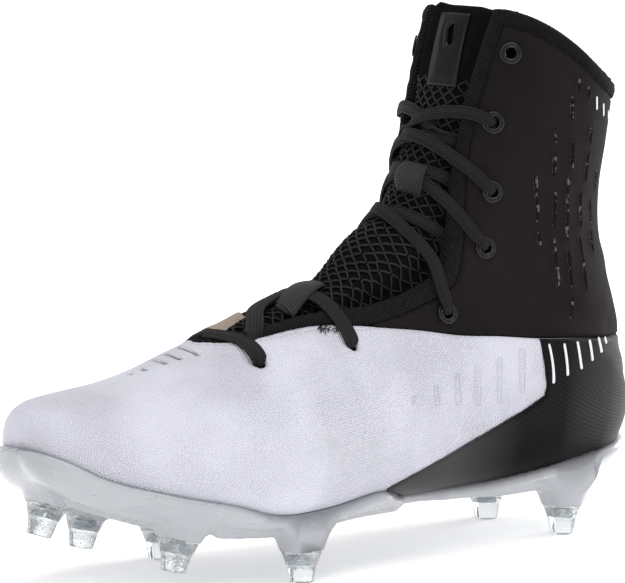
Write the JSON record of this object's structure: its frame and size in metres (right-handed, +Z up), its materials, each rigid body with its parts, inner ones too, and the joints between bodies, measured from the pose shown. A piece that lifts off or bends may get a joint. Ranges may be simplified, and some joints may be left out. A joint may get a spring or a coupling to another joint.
{
  "type": "american football cleat",
  "caption": "High-top American football cleat for the left foot: white moulded upper, black textile shaft, laced throat and a clear plate with tapered studs.",
  "frame": {"origin": "centre of the standing shoe's box on the ground", "axes": "+X to the toe, +Y to the outer side of the foot, +Z up"},
  "size_m": [0.3058, 0.0984, 0.2166],
  "materials": {
    "plate": "translucent moulded TPU",
    "stud": "clear moulded TPU",
    "insert": "bright steel",
    "insole": "textile-covered foam",
    "upper": "white moulded synthetic with a fine diagonal grain",
    "counter": "black moulded overlay, satin",
    "textile": "black knit",
    "binding": "black elastic binding",
    "tongue_mesh": "black open mesh",
    "lace": "flat braided polyester",
    "eyelet": "black moulded ring"
  },
  "bodies": {
    "root": {"outsole_plate": "plate", "stud_heel_lateral": "stud", "insert_heel_lateral": "insert", "stud_heel_medial": "stud", "insert_heel_medial": "insert", "stud_ball_lateral": "stud", "insert_ball_lateral": "insert", "stud_ball_medial": "stud", "insert_ball_medial": "insert", "stud_front_lateral": "stud", "insert_front_lateral": "insert", "stud_front_medial": "stud", "insert_front_medial": "insert", "stud_toe": "stud", "insert_toe": "insert", "insole": "insole", "upper": "upper", "heel_counter": "counter", "shaft": "textile", "throat_and_collar_binding": "binding", "tongue": "tongue_mesh", "tongue_panel": "textile", "tongue_loop_upper": "lace", "tongue_loop_lower": "lace", "eyelet_lateral_1": "eyelet", "eyelet_lateral_2": "eyelet", "eyelet_lateral_3": "eyelet", "eyelet_lateral_4": "eyelet", "eyelet_lateral_5": "eyelet", "eyelet_medial_1": "eyelet", "eyelet_medial_2": "eyelet", "eyelet_medial_3": "eyelet", "eyelet_medial_4": "eyelet", "eyelet_medial_5": "eyelet", "lace_bar": "lace", "lace_vamp": "lace", "lace_instep": "lace", "lace_ankle": "lace", "lace_shin": "lace", "lace_top": "lace"}
  },
  "joints": []
}
